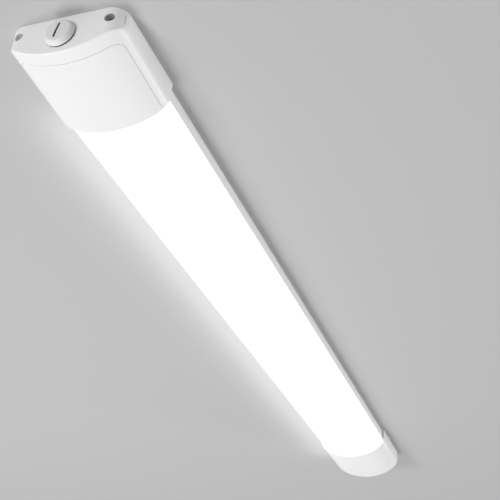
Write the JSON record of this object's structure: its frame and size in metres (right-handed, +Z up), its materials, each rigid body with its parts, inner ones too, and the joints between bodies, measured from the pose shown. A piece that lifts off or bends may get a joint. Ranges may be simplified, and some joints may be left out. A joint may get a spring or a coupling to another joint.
{
  "type": "vapor tight light fixture",
  "caption": "Long sealed ceiling light with an opal domed diffuser, a wiring box with a slotted conduit plug at one end and a closed cap at the other.",
  "frame": {"origin": "on the mounting plane, midway between the two rear screws of the wiring box", "axes": "+Z up to the ceiling, out of the fixture's back; +X along the body towards the closed cap; light goes to -Z"},
  "size_m": [1.2072, 0.1182, 0.0479],
  "materials": {
    "housing": "white moulded plastic, satin",
    "strip": "white extruded plastic, satin",
    "opal": "opal extruded plastic, lit from inside",
    "seal": "dark grey rubber",
    "terminal_body": "light grey moulded plastic",
    "contact_brass": "bright brass",
    "screw_steel": "zinc plated steel",
    "line_colour": "black plastic",
    "neutral_colour": "white plastic",
    "earth_colour": "green plastic",
    "black_lead": "black insulation",
    "white_lead": "white insulation",
    "green_lead": "green insulation",
    "red_lead": "red insulation",
    "earth_screw_green": "green plated steel",
    "tray_paint": "white powder coat",
    "board_white": "white solder mask",
    "chip_phosphor": "yellow phosphor",
    "connector_white": "white plastic",
    "driver_sheet": "bare sheet",
    "circuit_green": "green solder mask",
    "transformer_tape": "yellow tape",
    "capacitor_sleeve": "dark blue sleeve",
    "choke_copper": "enamelled copper wire",
    "heat_sink_metal": "bare fins"
  },
  "bodies": {
    "fixture": {"wiring_box": "housing", "cover_seal": "seal", "cable_grommet": "seal", "terminal_block": "terminal_body", "terminal_contacts": "contact_brass", "terminal_screws": "screw_steel", "line_lead": "black_lead", "neutral_lead": "white_lead", "earth_lead": "green_lead", "lead_seal": "seal", "earth_screw": "earth_screw_green", "earth_tag": "contact_brass", "near_end_seal": "seal", "near_end_screws": "screw_steel", "base_channel": "strip", "diffuser": "opal", "led_tray": "tray_paint", "light_board_a": "board_white", "light_board_b": "board_white", "light_board_c": "board_white", "light_board_d": "board_white", "chips_a": "chip_phosphor", "chips_b": "chip_phosphor", "chips_c": "chip_phosphor", "chips_d": "chip_phosphor", "board_screws": "screw_steel", "board_connectors": "connector_white", "driver_case": "driver_sheet", "driver_lid": "driver_sheet", "driver_board": "circuit_green", "driver_transformer": "transformer_tape", "driver_capacitors": "capacitor_sleeve", "driver_choke": "choke_copper", "driver_heat_sink": "heat_sink_metal", "driver_screws": "screw_steel", "positive_lead": "red_lead", "negative_lead": "black_lead", "far_end_seal": "seal", "far_end_screws": "screw_steel", "end_cap": "housing"},
    "cover": {"wiring_cover": "housing"},
    "plug_carrier": {"plug_seal": "seal"},
    "plug": {"conduit_plug": "housing"},
    "line_release": {"line_button": "line_colour"},
    "neutral_release": {"neutral_button": "neutral_colour"},
    "earth_release": {"earth_button": "earth_colour"}
  },
  "joints": [
    {"name": "cover_lift", "type": "slide", "parent": "fixture", "child": "cover", "axis": [0, 0, -1], "range_m": [0, 0.06]},
    {"name": "plug_advance", "type": "slide", "parent": "fixture", "child": "plug_carrier", "axis": [-1, 0, 0], "range_m": [0, 0.01176]},
    {"name": "plug_turn", "type": "hinge", "parent": "plug_carrier", "child": "plug", "pos_m": [-0.04, 0, -0.0221], "axis": [-1, 0, 0], "range_deg": [0, 2340]},
    {"name": "line_press", "type": "slide", "parent": "fixture", "child": "line_release", "axis": [0, 0, 1], "range_m": [0, 0.0015], "stiffness_N_per_m": 800, "springref_m": -0.001},
    {"name": "neutral_press", "type": "slide", "parent": "fixture", "child": "neutral_release", "axis": [0, 0, 1], "range_m": [0, 0.0015], "stiffness_N_per_m": 800, "springref_m": -0.001},
    {"name": "earth_press", "type": "slide", "parent": "fixture", "child": "earth_release", "axis": [0, 0, 1], "range_m": [0, 0.0015], "stiffness_N_per_m": 800, "springref_m": -0.001}
  ],
  "couplings": [
    {"joint": "plug_turn", "follows": "plug_advance", "rad_per_m": 3471.4}
  ]
}
